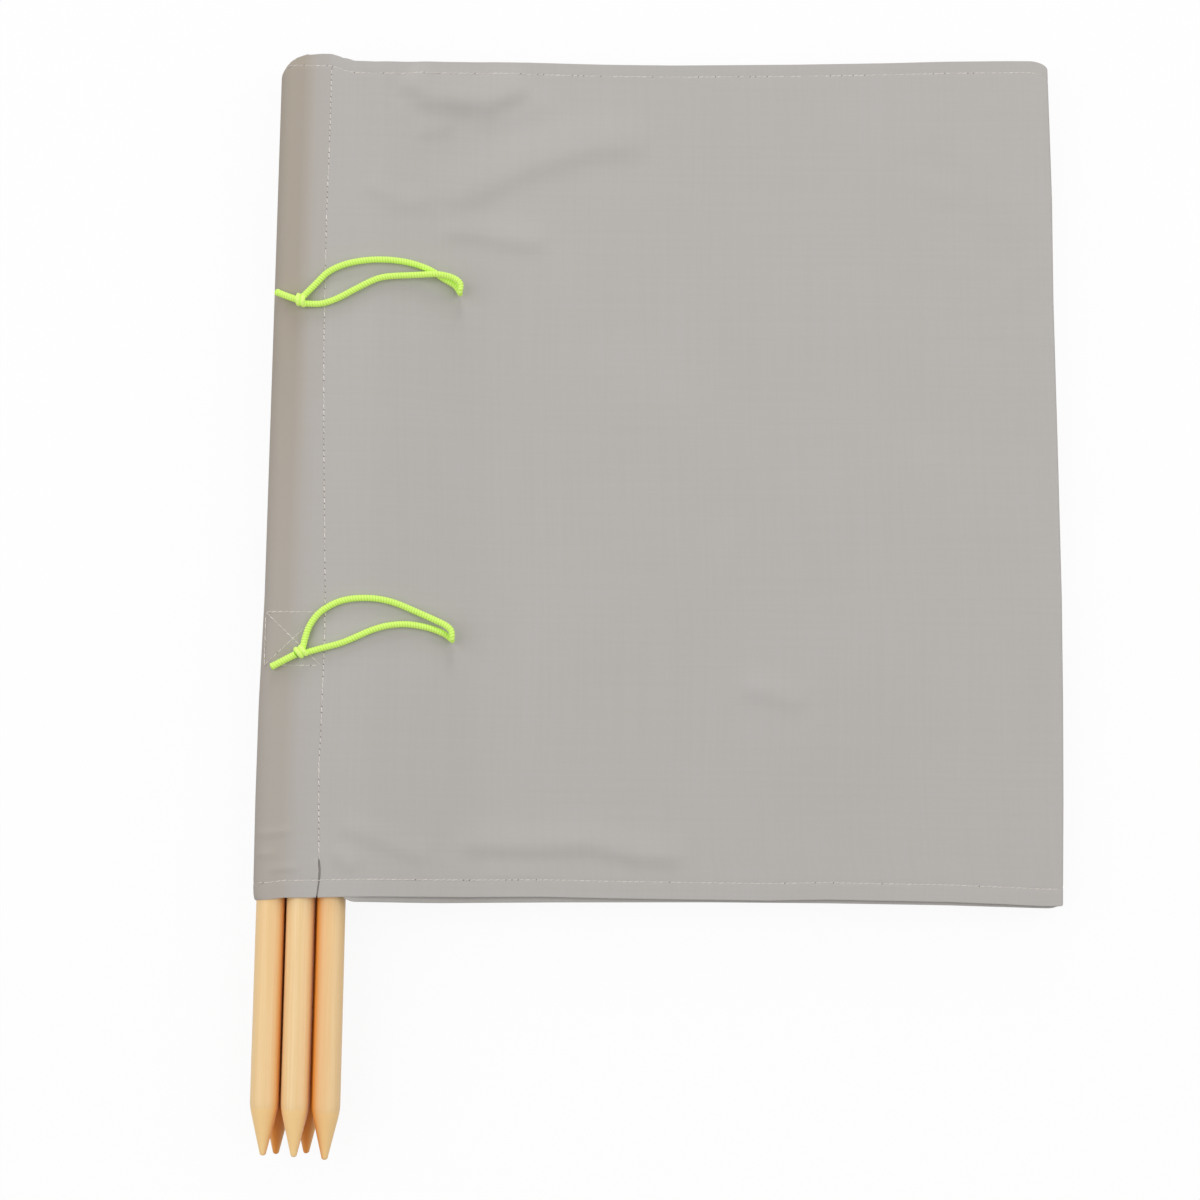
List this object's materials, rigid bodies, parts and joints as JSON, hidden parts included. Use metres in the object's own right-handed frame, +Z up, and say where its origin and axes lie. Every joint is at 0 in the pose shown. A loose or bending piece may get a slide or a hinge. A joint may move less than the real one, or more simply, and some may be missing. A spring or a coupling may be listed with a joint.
{
  "type": "folded beach windbreak",
  "caption": "Beach windbreak folded flat: pointed wooden poles in sewn sleeves along a strip of plain cloth, with knotted tie cords on the front sleeve.",
  "frame": {"origin": "middle of the folded windbreak on the floor that it lies on", "axes": "+Z up from the floor, +Y along the poles away from their points, +X from the poles to the folds"},
  "size_m": [0.718, 1.0046, 0.0685],
  "materials": {
    "pole_wood": "sanded, unvarnished",
    "cloth": "plain woven, matt",
    "cord": "braided, matt"
  },
  "bodies": {
    "cloth": {"sleeve_1": "cloth", "sleeve_2": "cloth", "sleeve_3": "cloth", "sleeve_4": "cloth", "sleeve_5": "cloth", "bay_1": "cloth", "bay_2": "cloth", "bay_3": "cloth", "bay_4": "cloth", "loop_upper": "cord", "loop_lower": "cord", "tail_upper": "cord", "tail_lower": "cord", "knot_upper": "cord", "knot_lower": "cord"},
    "pole_1": {"pole_1": "pole_wood"},
    "pole_2": {"pole_2": "pole_wood"},
    "pole_3": {"pole_3": "pole_wood"},
    "pole_4": {"pole_4": "pole_wood"},
    "pole_5": {"pole_5": "pole_wood"}
  },
  "joints": [
    {"name": "pole_1_draw", "type": "slide", "parent": "cloth", "child": "pole_1", "axis": [0, -1, 0], "range_m": [0, 0.79]},
    {"name": "pole_2_draw", "type": "slide", "parent": "cloth", "child": "pole_2", "axis": [0, -1, 0], "range_m": [0, 0.79]},
    {"name": "pole_3_draw", "type": "slide", "parent": "cloth", "child": "pole_3", "axis": [0, -1, 0], "range_m": [0, 0.79]},
    {"name": "pole_4_draw", "type": "slide", "parent": "cloth", "child": "pole_4", "axis": [0, -1, 0], "range_m": [0, 0.79]},
    {"name": "pole_5_draw", "type": "slide", "parent": "cloth", "child": "pole_5", "axis": [0, -1, 0], "range_m": [0, 0.79]}
  ]
}
